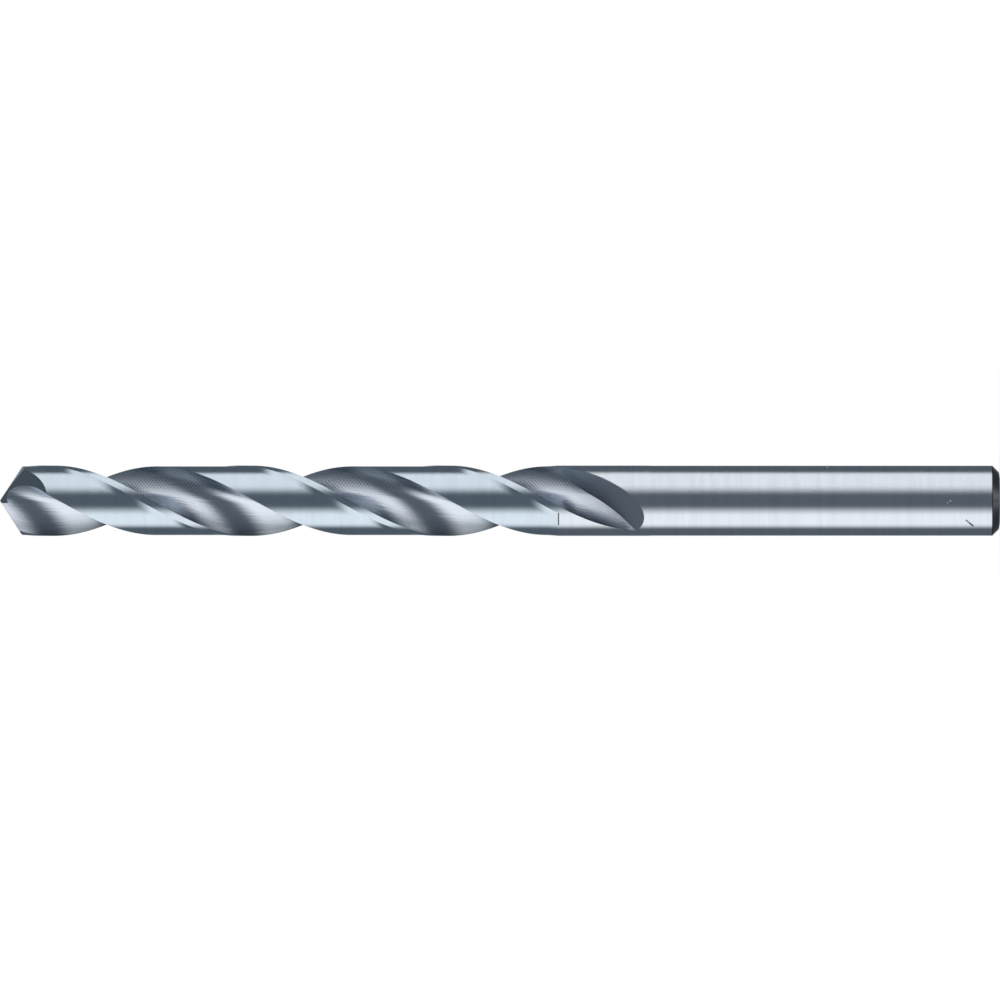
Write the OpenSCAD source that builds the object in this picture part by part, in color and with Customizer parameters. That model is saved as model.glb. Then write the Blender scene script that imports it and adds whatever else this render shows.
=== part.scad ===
// Twist drill bit for metal, right-hand cutting, with two ground flutes and a split point.
// Millimetres. The drill stands on its shank end: the origin is the centre of the end face,
// and +Z runs along the axis to the point.

/* [Shank and length] */
// Diameter over the margins
drill_d = 8.8; // [8:0.1:9.6]
// What the shank is ground down from the margins' diameter
shank_relief = 0.04; // [0.02:0.01:0.08]
// Length of the slight taper between the shank and the fluted part
neck_l = 0.8; // [0.7:0.1:1.5]
// Overall length, from the shank end to the chisel edge
overall_l = 125; // [115:1:135]
// Width of the 45 degree chamfer at the shank end
end_chamfer = 0.8; // [0.4:0.05:1.2]
// Diameter of the flat in the middle of the shank end
end_flat_d = 5.6; // [4.6:0.1:5.6]
// Height of the shallow bevel between the flat and the chamfer
end_bevel_h = 0.15; // [0.05:0.05:0.3]

/* [Flutes] */
// Length of the flutes, from the chisel edge to the end of their runout
flute_l = 80.5; // [74:0.5:88]
// Length of the runout, where the flutes rise to the surface
runout_l = 14; // [12:0.5:16]
// Height that a flute's section has risen by at its end
runout_rise = 2.1; // [1.8:0.1:2.4]
// Length along the axis in which a flute makes one full turn
lead = 49.4; // [44:0.2:60]
// Thickness of the web at the point
web_t = 1.32; // [1.1:0.02:1.6]
// What the web gains in thickness over 100 mm toward the shank
web_gain = 1.2; // [0.6:0.1:1.6]
// Reach of the flute's floor from its deepest line to the heel wall
floor_reach = 2.3; // [2:0.05:2.4]
// Distance from the axis at which the heel wall becomes straight
heel_reach = 3.66; // [3.4:0.02:3.8]
// Angle by which the flute leans toward its heel side as it rises in the runout
runout_lean = 20; // [14:1:26]

/* [Leaf face at the end of each flute] */
// Angle between the leaf face and the axis
leaf_angle = 29; // [27:0.5:31]
// Direction the leaf face looks in, measured ahead of the floor's deepest line at the flute's end
leaf_turn = 2; // [-2:1:5]

/* [Lands] */
// Width of each margin, around the drill
margin_w = 0.95; // [0.6:0.05:1.4]
// Depth of the body clearance behind each margin
clearance_h = 0.1; // [0.06:0.01:0.16]
// Length of the body clearance, from the chisel edge
clearance_l = 69.7; // [64:0.1:70]

/* [Point] */
// Angle between the two lips
point_angle = 118; // [112:1:124]
// Relief angle behind each lip
relief_angle = 7.5; // [5:0.5:12]
// Half angle of the cone that the flanks are ground to
flank_cone = 30; // [26:1:36]
// Distance along the lip from the axis to the tip of the flank cone
flank_reach = 14.5; // [12:0.5:20]
// Direction of the first lip around the axis
lip_turn = 203; // [0:1:359]
// Length of the chisel edge left between the two notches
chisel_l = 0.6; // [0.4:0.05:0.8]
// Direction of each notch, measured ahead of its lip
notch_turn = 67; // [60:1:74]
// Angle between the floor of each notch and the axis
notch_slope = 36; // [33:1:40]
// Angle by which the notch floor falls away to the side of its wall
notch_tilt = 7; // [2:1:12]

/* [Smoothness] */
// Turn of the flute between two of its sections, in degrees
section_turn = 7.5; // [5:0.5:9]
// Steps along the cutting side of a flute's section
cutting_steps = 8; // [6:1:10]
// Steps along the heel side of a flute's section
heel_steps = 8; // [6:1:10]

/* [Hidden] */

drill_r = drill_d / 2;
shank_r = drill_r - shank_relief / 2;
body_r = drill_r - clearance_h;
half_web = web_t / 2;
half_point = point_angle / 2;
turn_per_mm = 360 / lead;
// Radius to which the ground spaces are drawn outside the drill, and their reach past its ends
full_r = 1.5 * drill_r;
past = 1;
// Length of full diameter left between the neck and the runout
neck_gap = 0.3;
// Height by which the flanks, drawn on to the axis, would pass the chisel edge
flank_rise = 0.06;
// Turn that the slope behind a margin takes for the depth of the body clearance
slope_turn = 3;
// Share of the even spacing that bunches the cutting side's points toward the web
web_crowding = 1.3;
facets = 180;

flute_end = overall_l - flute_l;
runout_start = flute_end + runout_l;
clearance_end = overall_l - clearance_l;
neck_end = flute_end - neck_gap;

// Axial drop of a lip for each millimetre that it runs outward
lip_fall = 1 / tan(half_point);
// Length of a lip from its closest place to the axis out to the drill's diameter
lip_l = sqrt(drill_r * drill_r - half_web * half_web);
// Height at which the lips, drawn on past the notches, come closest to the axis
lip_top = overall_l + half_web * tan(relief_angle) + flank_rise;
corner_z = lip_top - lip_l * lip_fall;
corner_turn = lip_turn + asin(half_web / drill_r);

function half_web_at(z) = half_web + web_gain / 200 * (corner_z - z);

// Direction of a land's cutting edge at height z
function edge_turn(z) = corner_turn + turn_per_mm * (z - corner_z);

// Direction of the flute's deepest line at height z
function floor_turn(z) =
    edge_turn(z) + 90 - asin(half_web_at(z) / drill_r) - turn_per_mm * lip_fall * lip_l;

// How far the flute's section has risen at height z
function lift(z) =
    z > runout_start ? 0
    : runout_rise * pow((runout_start - z) / runout_l, 3);

function polar(r, turn) = [r * cos(turn), r * sin(turn)];

// Cutting side of the flute, from outside the drill in to the deepest line: the lip swept along the helix
function cutting_side(z) =
    let (w = half_web_at(z), reach = sqrt(full_r * full_r - w * w))
    [for (i = [-1 : cutting_steps])
        let (
            along = i < 0 ? reach : lip_l * pow(1 - i / cutting_steps, web_crowding),
            turn = atan2(w, along) - asin(w / drill_r) - turn_per_mm * lip_fall * (lip_l - along)
        )
        polar(norm([along, w]), edge_turn(z) + turn)
    ];

// Heel side of the flute, from the deepest line out: a quarter of an ellipse and a straight wall
function heel_side(z) =
    let (
        w = half_web_at(z),
        out = polar(1, floor_turn(z)),
        side = polar(1, floor_turn(z) + 90),
        reach = sqrt(full_r * full_r - floor_reach * floor_reach)
    )
    [for (i = [1 : heel_steps + 1])
        let (
            a = 90 * min(i / heel_steps, 1),
            depth = i > heel_steps ? reach : w + (heel_reach - w) * (1 - cos(a))
        )
        floor_reach * sin(a) * side + depth * out
    ];

function flute_section(z) =
    let (rise = polar(lift(z), floor_turn(z) + runout_lean))
    [for (p = concat(cutting_side(z), heel_side(z))) [p[0] + rise[0], p[1] + rise[1], z]];

// Section of the space behind one margin, from the flute behind its land to the slope of the margin
function clearance_section(z) =
    let (
        slope = edge_turn(z) - margin_w / drill_r * 180 / PI,
        heel = floor_turn(z) - 180 + asin(floor_reach / drill_r) - slope_turn
    )
    [for (p = [
        polar(full_r, heel),
        polar(drill_r / 2, heel),
        polar(drill_r / 2, slope - 2 * slope_turn),
        polar(body_r - clearance_h, slope - 2 * slope_turn),
        polar(drill_r + clearance_h, slope + slope_turn),
        polar(full_r, slope + slope_turn)
    ]) [p[0], p[1], z]];

// Triangles that join rings of n points, with a cap on each end
function ring_faces(n, rings) = concat(
    [for (k = [0 : rings - 2], i = [0 : n - 1])
        [k * n + i, k * n + (i + 1) % n, (k + 1) * n + (i + 1) % n]],
    [for (k = [0 : rings - 2], i = [0 : n - 1])
        [k * n + i, (k + 1) * n + (i + 1) % n, (k + 1) * n + i]],
    [[for (i = [n - 1 : -1 : 0]) i]],
    [[for (i = [0 : n - 1]) (rings - 1) * n + i]]
);

// Solid through a list of sections, each with its points running clockwise as seen from the point
module helical(sections) {
    polyhedron(
        points = [for (ring = sections) each ring],
        faces = ring_faces(len(sections[0]), len(sections)),
        convexity = 10
    );
}

function heights(low, high) =
    let (steps = ceil((high - low) * turn_per_mm / section_turn))
    [for (k = [0 : steps]) low + (high - low) * k / steps];

// Space that one flute leaves: its helical sweep, closed by the flat leaf face at the runout
module flute() {
    difference() {
        helical([for (z = heights(flute_end - past, overall_l + past)) flute_section(z)]);
        leaf_block();
    }
}

// Block below the leaf face, which looks out along low_turn and up toward the point
module leaf_block() {
    low_turn = floor_turn(flute_end) + leaf_turn;
    rotate([0, 0, low_turn])
        translate([drill_r, 0, flute_end])
            rotate([0, 90 - leaf_angle, 0])
                translate([-flute_l, -flute_l / 2, -flute_l])
                    cube([2 * flute_l, flute_l, flute_l]);
}

// Space behind one margin: a helical strip of the body, ground down to the body's own radius
module body_clearance() {
    intersection() {
        helical([for (z = heights(clearance_end - past, overall_l + past)) clearance_section(z)]);
        rotate_extrude($fn = facets)
            translate([body_r, clearance_end])
                square([drill_r, clearance_l + past / 2]);
    }
}

// Round blank with its chamfered shank end, and the slight taper at the end of the shank
module blank() {
    rotate_extrude($fn = facets)
        polygon([
            [0, 0],
            [end_flat_d / 2, 0],
            [shank_r - end_chamfer, end_bevel_h],
            [shank_r, end_bevel_h + end_chamfer],
            [shank_r, neck_end - neck_l],
            [drill_r, neck_end],
            [drill_r, overall_l],
            [0, overall_l]
        ]);
}

// What is ground off behind one lip: all on its side of the axis that lies outside the flank cone
module flank_cut() {
    along = [sin(half_point), 0, -cos(half_point)];
    up = [cos(half_point) * cos(relief_angle), -sin(relief_angle), sin(half_point) * cos(relief_angle)];
    axis = cos(flank_cone) * along - sin(flank_cone) * up;
    apex = [0, half_web, lip_top] - flank_reach * along;
    size = 3 * flank_reach;
    rotate([0, 0, lip_turn])
        difference() {
            rotate([0, 0, notch_turn])
                translate([-drill_d, -drill_d, corner_z - drill_d])
                    cube([2 * drill_d, drill_d + chisel_l / 8, 2 * drill_d]);
            translate(apex)
                rotate([0, acos(axis[2]), atan2(axis[1], axis[0])])
                    cylinder(h = size, r1 = 0, r2 = size * tan(flank_cone), $fn = facets);
        }
}

// Notch that splits the point: a wall beside the chisel edge, and a floor that falls away through the heel
module notch_cut() {
    rotate([0, 0, lip_turn + notch_turn])
        intersection() {
            translate([-drill_d, -chisel_l / 2, 0])
                cube([2 * drill_d, 2 * drill_d, 2 * overall_l]);
            translate([0, 0, overall_l])
                rotate([0, 0, notch_tilt])
                    rotate([0, 90 - notch_slope, 0])
                        translate([-2 * drill_d, -2 * drill_d, 0])
                            cube(4 * drill_d);
        }
}

module on_both_sides() {
    for (turn = [0, 180]) rotate([0, 0, turn]) children();
}

module drill_bit() {
    color("silver")
        difference() {
            blank();
            on_both_sides() flute();
            on_both_sides() body_clearance();
            on_both_sides() flank_cut();
            on_both_sides() notch_cut();
        }
}

drill_bit();
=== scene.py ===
"""Twist drill bit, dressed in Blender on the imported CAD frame."""

import logging
import math
from collections.abc import Callable
from dataclasses import dataclass, field, fields
from enum import Enum
from functools import reduce
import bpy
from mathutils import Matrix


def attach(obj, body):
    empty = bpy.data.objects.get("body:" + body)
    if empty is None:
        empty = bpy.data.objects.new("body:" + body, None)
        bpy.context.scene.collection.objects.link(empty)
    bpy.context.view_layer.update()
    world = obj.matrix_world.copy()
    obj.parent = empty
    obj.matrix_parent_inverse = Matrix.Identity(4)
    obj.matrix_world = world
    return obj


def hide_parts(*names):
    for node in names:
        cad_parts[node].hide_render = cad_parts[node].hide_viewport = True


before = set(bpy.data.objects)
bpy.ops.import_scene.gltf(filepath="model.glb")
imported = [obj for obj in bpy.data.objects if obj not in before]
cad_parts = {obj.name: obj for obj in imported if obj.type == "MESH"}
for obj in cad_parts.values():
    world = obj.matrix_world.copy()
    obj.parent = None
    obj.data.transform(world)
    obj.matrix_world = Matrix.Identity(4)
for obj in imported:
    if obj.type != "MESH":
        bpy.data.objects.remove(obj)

from types import SimpleNamespace

import bpy
import numpy as np
from mathutils import Matrix, Vector

log = logging.getLogger("drill")
MM = 0.001
TINY = 1e-9
# The web's gain is given over 100 mm, and each side of the web takes half of it
HALF_GAIN_SPAN = 200.0
Number = "float | Wire"
Pair = tuple[float, float]
Triple = tuple[float, float, float]


def operator(operation: str, turned: bool = False) -> Callable[["Wire", Number], "Wire"]:
    """Make one of a wire's operators.

    Args:
        operation: The Math node's operation.
        turned: Whether the wire is its second input, as in 1 - wire.

    Returns:
        The operator.
    """

    def apply(self: "Wire", other: Number) -> "Wire":
        """Add the Math node."""
        values = (other, self) if turned else (self, other)
        return self.board.math(operation, *values)

    return apply


def function(operation: str) -> Callable[..., "Wire"]:
    """Make a method of a board that adds one kind of Math node.

    Args:
        operation: The node's operation.

    Returns:
        The method, which takes the node's inputs in order.
    """

    def apply(self: "Board", *values: Number) -> "Wire":
        """Add the Math node."""
        return self.math(operation, *values)

    return apply


class Wire:
    """A node's output socket, on which Python's operators add Math nodes; a comparison gives 1 or 0."""

    def __init__(self, board: "Board", socket: bpy.types.NodeSocket) -> None:
        """Wrap a socket.

        Args:
            board: The board that the socket's tree belongs to.
            socket: The output socket.
        """
        self.board = board
        self.socket = socket

    __add__, __radd__ = operator("ADD"), operator("ADD", True)
    __sub__, __rsub__ = operator("SUBTRACT"), operator("SUBTRACT", True)
    __mul__, __rmul__ = operator("MULTIPLY"), operator("MULTIPLY", True)
    __truediv__, __rtruediv__ = operator("DIVIDE"), operator("DIVIDE", True)
    __pow__, __gt__, __lt__ = operator("POWER"), operator("GREATER_THAN"), operator("LESS_THAN")

    def __neg__(self) -> "Wire":
        """Change the sign."""
        return self * -1.0

    def twin(self, out: str | int) -> "Wire":
        """Another output of the same node."""
        return Wire(self.board, self.socket.node.outputs[out])


class Board:
    """A node tree with short ways to add and link its nodes."""

    def __init__(self, tree: bpy.types.NodeTree) -> None:
        """Wrap a tree.

        Args:
            tree: The tree that the nodes are added to.
        """
        self.tree = tree

    @classmethod
    def fresh(cls, owner: bpy.types.Material | bpy.types.World) -> "Board":
        """Empty the node tree of a material or a world, to build it anew.

        Args:
            owner: The material or world.

        Returns:
            A board for its tree.
        """
        owner.use_nodes = True
        owner.node_tree.nodes.clear()
        return cls(owner.node_tree)

    def add(
        self,
        kind: str,
        settings: dict[str, object] | None = None,
        sockets: dict[str | int, object] | None = None,
        out: str | int = 0,
    ) -> Wire:
        """Add one node.

        Args:
            kind: The node's type.
            settings: Its own settings, which are set first. The one called items is how many values an
                Index Switch chooses from.
            sockets: Values or links of its input sockets, by name or number.
            out: The output socket to hand back.

        Returns:
            The chosen output.
        """
        node = self.tree.nodes.new(kind)
        for name, value in (settings or {}).items():
            if name == "items":
                for _ in range(len(node.index_switch_items), value):
                    node.index_switch_items.new()
            else:
                setattr(node, name, value)
        for key, value in (sockets or {}).items():
            self.feed(node, key, value)
        return Wire(self, node.outputs[out] if len(node.outputs) else None)

    def feed(self, node: bpy.types.Node, key: str | int, value: object) -> None:
        """Give a socket its value or its links.

        Args:
            node: The node.
            key: Name or number of its input socket.
            value: A number, a vector, a wire, or a list of wires for a socket that takes many.
        """
        socket = node.inputs[key]
        for item in value if isinstance(value, list) else [value]:
            if isinstance(item, Wire):
                self.tree.links.new(item.socket, socket)
            else:
                socket.default_value = item

    def math(self, operation: str, *values: Number) -> Wire:
        """Add a Math node.

        Args:
            operation: The node's operation.
            *values: Its inputs, in order.

        Returns:
            The result.
        """
        return self.add("ShaderNodeMath", {"operation": operation}, dict(enumerate(values)))

    # Angles are in radians, and radians() turns degrees into them
    sin, cos, tan = function("SINE"), function("COSINE"), function("TANGENT")
    asin, acos, atan2 = function("ARCSINE"), function("ARCCOSINE"), function("ARCTAN2")
    radians, floor, sqrt = function("RADIANS"), function("FLOOR"), function("SQRT")
    least, most = function("MINIMUM"), function("MAXIMUM")

    def vector(self, x: Number, y: Number, z: Number) -> Wire:
        """Join three values into a vector."""
        return self.add("ShaderNodeCombineXYZ", None, {0: x, 1: y, 2: z})

    def blend(self, share: Number, a: Number, b: Number) -> Wire:
        """Go from a to b as share goes from 0 to 1."""
        return a + share * (b - a) if isinstance(a, Wire) else share * (b - a) + a

    def ramp(self, value: Wire, low: float, high: float) -> Wire:
        """Go smoothly from 0 to 1 as the value goes from low to high."""
        limits = {"Value": value, "From Min": low, "From Max": high, "To Min": 0.0, "To Max": 1.0}
        return self.add("ShaderNodeMapRange", {"interpolation_type": "SMOOTHSTEP", "clamp": True}, limits)

    def mix(self, share: Wire, first: Wire | Triple, second: Wire | Triple) -> Wire:
        """Mix two colours.

        Args:
            share: Share of the second colour, which is kept between 0 and 1.
            first: A colour or a wire.
            second: A colour or a wire.

        Returns:
            The mixed colour.
        """
        ends = [colour if isinstance(colour, Wire) else (*colour, 1.0) for colour in (first, second)]
        settings = {"data_type": "RGBA", "clamp_factor": True}
        return self.add("ShaderNodeMix", settings, {0: share, 6: ends[0], 7: ends[1]}, out=2)

    def noise(self, at: Wire, stretch: Triple, detail: float = 2.0) -> Wire:
        """Add noise that is stretched along the grinding marks.

        Args:
            at: The place, in millimetres.
            stretch: Cells for each millimetre along X, Y and Z.
            detail: Octaves of the noise.

        Returns:
            A value around 0.5.
        """
        place = self.add("ShaderNodeVectorMath", {"operation": "MULTIPLY"}, {0: at, 1: stretch})
        return self.add("ShaderNodeTexNoise", None, {"Vector": place, "Scale": 1.0, "Detail": detail})

    def mix_shaders(self, share: Wire, first: Wire, second: Wire) -> Wire:
        """Mix two shaders, where share is the second one's."""
        return self.add("ShaderNodeMixShader", None, {0: share, 1: first, 2: second})


class Surface(Enum):
    """The drill's ground surfaces, each with a finish of its own."""

    SHANK = "shank"
    END = "end"
    FLUTE = "flute"
    LEAF = "leaf"
    LAND = "land"
    FLANK = "flank"
    NOTCH = "notch"


Looks = dict[Surface, bpy.types.Material]


def put(name: str, data: bpy.types.ID) -> bpy.types.Object:
    """Put a mesh, a light or a camera into the scene as an object of its own.

    Args:
        name: Name of the object.
        data: What it shows.

    Returns:
        The object.
    """
    thing = bpy.data.objects.new(name, data)
    bpy.context.scene.collection.objects.link(thing)
    return thing


@dataclass(frozen=True)
class DrillSizes:
    """Sizes of the drill in millimetres and degrees, with the CAD part's names.

    The values are the CAD part's too, but for slope_turn: here the slope behind a margin is a wide curve.
    The last one is the scene's own: the length over which the clearance's end is eased.
    """

    drill_d: float = 8.8
    shank_relief: float = 0.04
    neck_l: float = 0.8
    neck_gap: float = 0.3
    overall_l: float = 125.0
    end_chamfer: float = 0.8
    end_flat_d: float = 5.6
    end_bevel_h: float = 0.15
    flute_l: float = 80.5
    runout_l: float = 14.0
    runout_rise: float = 2.1
    lead: float = 49.4
    web_t: float = 1.32
    web_gain: float = 1.2
    floor_reach: float = 2.3
    heel_reach: float = 3.66
    runout_lean: float = 20.0
    leaf_angle: float = 29.0
    leaf_turn: float = 2.0
    margin_w: float = 0.95
    clearance_h: float = 0.1
    clearance_l: float = 69.7
    point_angle: float = 118.0
    relief_angle: float = 7.5
    flank_cone: float = 30.0
    flank_reach: float = 14.5
    lip_turn: float = 203.0
    chisel_l: float = 0.6
    notch_turn: float = 67.0
    notch_slope: float = 36.0
    notch_tilt: float = 7.0
    flank_rise: float = 0.06
    slope_turn: float = 11.7
    web_crowding: float = 1.3
    clearance_taper: float = 1.2

    @property
    def drill_r(self) -> float:
        """Radius over the margins."""
        return self.drill_d / 2

    @property
    def flute_end(self) -> float:
        """Height at which the flutes end."""
        return self.overall_l - self.flute_l

    @property
    def lip_top(self) -> float:
        """Height at which the lips, drawn on, come closest to the axis."""
        return self.overall_l + self.web_t / 2 * math.tan(math.radians(self.relief_angle)) + self.flank_rise

    @property
    def lip_l(self) -> float:
        """Length of a lip out to the drill's diameter."""
        return math.sqrt(self.drill_r**2 - (self.web_t / 2) ** 2)

    @property
    def corner_z(self) -> float:
        """Height of the lips' outer corners."""
        return self.lip_top - self.lip_l / math.tan(math.radians(self.point_angle / 2))

    @property
    def twist(self) -> float:
        """Turn of the flutes for each millimetre of height, in radians."""
        return 2 * math.pi / self.lead

    @property
    def corner_turn(self) -> float:
        """Direction of the first lip's outer corner, in radians."""
        return math.radians(self.lip_turn) + math.asin(self.web_t / 2 / self.drill_r)

    def flank_axis(self) -> tuple[Vector, Vector]:
        """Place of the cone that the first flank is ground to.

        Returns:
            The cone's tip and its axis, before the turn of the lip.
        """
        half = math.radians(self.point_angle / 2)
        relief = math.radians(self.relief_angle)
        cone = math.radians(self.flank_cone)
        along = Vector((math.sin(half), 0, -math.cos(half)))
        level = math.cos(relief)
        up = Vector((math.cos(half) * level, -math.sin(relief), math.sin(half) * level))
        tip = Vector((0, self.web_t / 2, self.lip_top)) - self.flank_reach * along
        return tip, math.cos(cone) * along - math.sin(cone) * up


@dataclass(frozen=True)
class Fineness:
    """How finely the drill's mesh is divided."""

    round_facets: int = 400
    cone_facets: int = 512
    cutting_steps: int = 26
    heel_steps: int = 24
    flute_rings: int = 240
    arc_steps: int = 22
    clearance_rings: int = 210


class DrillTree:
    """The Geometry Nodes tree that grinds the drill out of a round blank."""

    # How far the ground spaces reach past the drill's ends in millimetres, and out of its side in radii
    PAST = 1.0
    FULL = 1.5
    # Steps of the slope behind a margin, and how far it is drawn on past the margin, times its own turn
    SLOPE_STEPS = 5
    SLOPE_PAST = 1.2
    # Turn by which a clearance reaches into the flute behind its land, in radians
    HEEL_PAST = 0.05
    # Share of the clearance's depth that it starts with
    STEP_LEFT = 0.03
    # Share of the chamfer's height that has the shank end's finish
    END_SHARE = 0.9

    def __init__(self, sizes: DrillSizes, fine: Fineness, looks: Looks) -> None:
        """Build the tree.

        Args:
            sizes: The drill's sizes, which become the tree's named inputs.
            fine: How finely the surfaces are divided.
            looks: The finish of each surface.
        """
        self.sizes = sizes
        self.fine = fine
        self.looks = looks
        self.tree = bpy.data.node_groups.new("drill_grinding", "GeometryNodeTree")
        self.board = Board(self.tree)
        self.tree.interface.new_socket("Drill", in_out="OUTPUT", socket_type="NodeSocketGeometry")
        for item in fields(sizes):
            name = self.label(item.name)
            self.tree.interface.new_socket(name, in_out="INPUT", socket_type="NodeSocketFloat")
        entry = self.board.add("NodeGroupInput")
        names = [item.name for item in fields(sizes)]
        self.size = SimpleNamespace(**{name: entry.twin(self.label(name)) for name in names})
        self.work_out()
        self.assemble()

    @staticmethod
    def label(name: str) -> str:
        """Name of a size as the tree's input shows it."""
        return name.replace("_", " ").capitalize()

    def work_out(self) -> None:
        """Work out the shared lengths and angles from the named inputs."""
        b, s = self.board, self.size
        s.drill_r = s.drill_d / 2
        s.shank_r = s.drill_r - s.shank_relief / 2
        s.full_r = s.drill_r * self.FULL
        s.half_web = s.web_t / 2
        s.twist = 2 * math.pi / s.lead
        s.flute_end = s.overall_l - s.flute_l
        s.runout_start = s.flute_end + s.runout_l
        s.clearance_end = s.overall_l - s.clearance_l
        s.neck_end = s.flute_end - s.neck_gap
        s.half_point = b.radians(s.point_angle) / 2
        s.lip_fall = 1 / b.tan(s.half_point)
        s.lip_l = b.sqrt(s.drill_r * s.drill_r - s.half_web * s.half_web)
        s.lip_top = s.overall_l + s.half_web * b.tan(b.radians(s.relief_angle)) + s.flank_rise
        s.corner_z = s.lip_top - s.lip_l * s.lip_fall
        s.corner_turn = b.radians(s.lip_turn) + b.asin(s.half_web / s.drill_r)
        s.slope = b.radians(s.slope_turn)

    def half_web_at(self, z: Wire) -> Wire:
        """Half the web's thickness at height z."""
        s = self.size
        return s.half_web + s.web_gain / HALF_GAIN_SPAN * (s.corner_z - z)

    def edge_turn(self, z: Wire) -> Wire:
        """Direction of a land's cutting edge at height z."""
        s = self.size
        return s.corner_turn + s.twist * (z - s.corner_z)

    def floor_turn(self, z: Wire) -> Wire:
        """Work out where the flute is deepest.

        Args:
            z: Height.

        Returns:
            The direction of the flute's deepest line at that height.
        """
        s = self.size
        back = self.board.asin(self.half_web_at(z) / s.drill_r) + s.twist * s.lip_fall * s.lip_l
        return self.edge_turn(z) + math.pi / 2 - back

    def sweep(self, points: int, rings: int, low: Number, high: Wire) -> tuple[Wire, Wire, Wire]:
        """Start a closed tube, whose points are numbered clockwise in each ring from the top ring down.

        Args:
            points: Points in each ring.
            rings: Number of rings.
            low: Height of the lowest ring.
            high: Height of the highest ring.

        Returns:
            The tube, the number of a point in its ring, and its height.
        """
        b = self.board
        settings, sockets = {"fill_type": "NGON"}, {"Vertices": points, "Side Segments": rings - 1}
        tube = b.add("GeometryNodeMeshCylinder", settings, sockets)
        index = b.add("GeometryNodeInputIndex")
        ring = b.floor((index + 0.5) / points)
        number = points - 1 - (index - ring * points)
        return tube, number, high - ring / (rings - 1) * (high - low)

    def place(self, tube: Wire, x: Wire, y: Wire, z: Wire) -> Wire:
        """Move a tube's points to where they belong."""
        sockets = {"Geometry": tube, "Position": self.board.vector(x, y, z)}
        return self.board.add("GeometryNodeSetPosition", None, sockets)

    def coat(self, shape: Wire, surface: Surface, where: Wire | bool = True) -> Wire:
        """Give a shape, or part of it, the finish of a surface, which the cut then keeps."""
        sockets = {"Geometry": shape, "Selection": where, "Material": self.looks[surface]}
        return self.board.add("GeometryNodeSetMaterial", None, sockets)

    def box(self, x: Wire, y: Wire, z: Wire) -> Wire:
        """Make a box around the origin."""
        return self.board.add("GeometryNodeMeshCube", None, {"Size": self.board.vector(x, y, z)})

    def move(
        self,
        shape: Wire,
        turn: tuple[Number, Number, Number] = (0.0, 0.0, 0.0),
        shift: tuple[Number, Number, Number] = (0.0, 0.0, 0.0),
    ) -> Wire:
        """Turn a shape about the origin and then shift it.

        Args:
            shape: The shape.
            turn: Angles about X, Y and Z, in radians.
            shift: The way it is shifted.

        Returns:
            The moved shape.
        """
        b = self.board
        sockets = {"Geometry": shape, "Translation": b.vector(*shift), "Rotation": b.vector(*turn)}
        return b.add("GeometryNodeTransform", None, sockets)

    def spin(self, shape: Wire, angle: Number) -> Wire:
        """Turn a shape about the drill's axis."""
        return self.move(shape, turn=(0.0, 0.0, angle))

    def cut(self, solid: Wire, *tools: Wire, operation: str = "DIFFERENCE") -> Wire:
        """Cut tools from a solid, or keep what they share.

        Args:
            solid: The solid.
            *tools: The shapes that are cut from it.
            operation: The Mesh Boolean node's operation.

        Returns:
            The cut solid.
        """
        if operation == "DIFFERENCE":
            sockets = {"Mesh 1": solid, "Mesh 2": list(tools)}
        else:
            sockets = {"Mesh 2": [solid, *tools]}
        settings = {"operation": operation, "solver": "MANIFOLD"}
        return self.board.add("GeometryNodeMeshBoolean", settings, sockets)

    def pick(self, number: Wire, choices: list[Number]) -> Wire:
        """Choose a value by its number."""
        settings = {"data_type": "FLOAT", "items": len(choices)}
        return self.board.add("GeometryNodeIndexSwitch", settings, dict(enumerate([number, *choices])))

    def blank(self) -> Wire:
        """Make the round blank, with its chamfered end and the slight taper of its neck.

        Returns:
            The blank.
        """
        b, s = self.board, self.size
        facets = self.fine.round_facets
        rings = [
            (s.drill_r, s.overall_l),
            (s.drill_r, s.neck_end),
            (s.shank_r, s.neck_end - s.neck_l),
            (s.shank_r, s.end_bevel_h + s.end_chamfer),
            (s.shank_r - s.end_chamfer, s.end_bevel_h),
            (s.end_flat_d / 2, 0.0),
        ]
        tube, number, _ = self.sweep(facets, len(rings), 0.0, s.overall_l)
        ring = b.floor((b.add("GeometryNodeInputIndex") + 0.5) / facets)
        turn = number * (-2 * math.pi / facets)
        r = self.pick(ring, [r for r, _ in rings])
        z = self.pick(ring, [z for _, z in rings])
        solid = self.coat(self.place(tube, r * b.cos(turn), r * b.sin(turn), z), Surface.SHANK)
        height = b.add("ShaderNodeSeparateXYZ", None, {0: b.add("GeometryNodeInputPosition")}, out=2)
        low = height < s.end_bevel_h + s.end_chamfer * self.END_SHARE
        return self.coat(solid, Surface.END, low)

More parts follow.
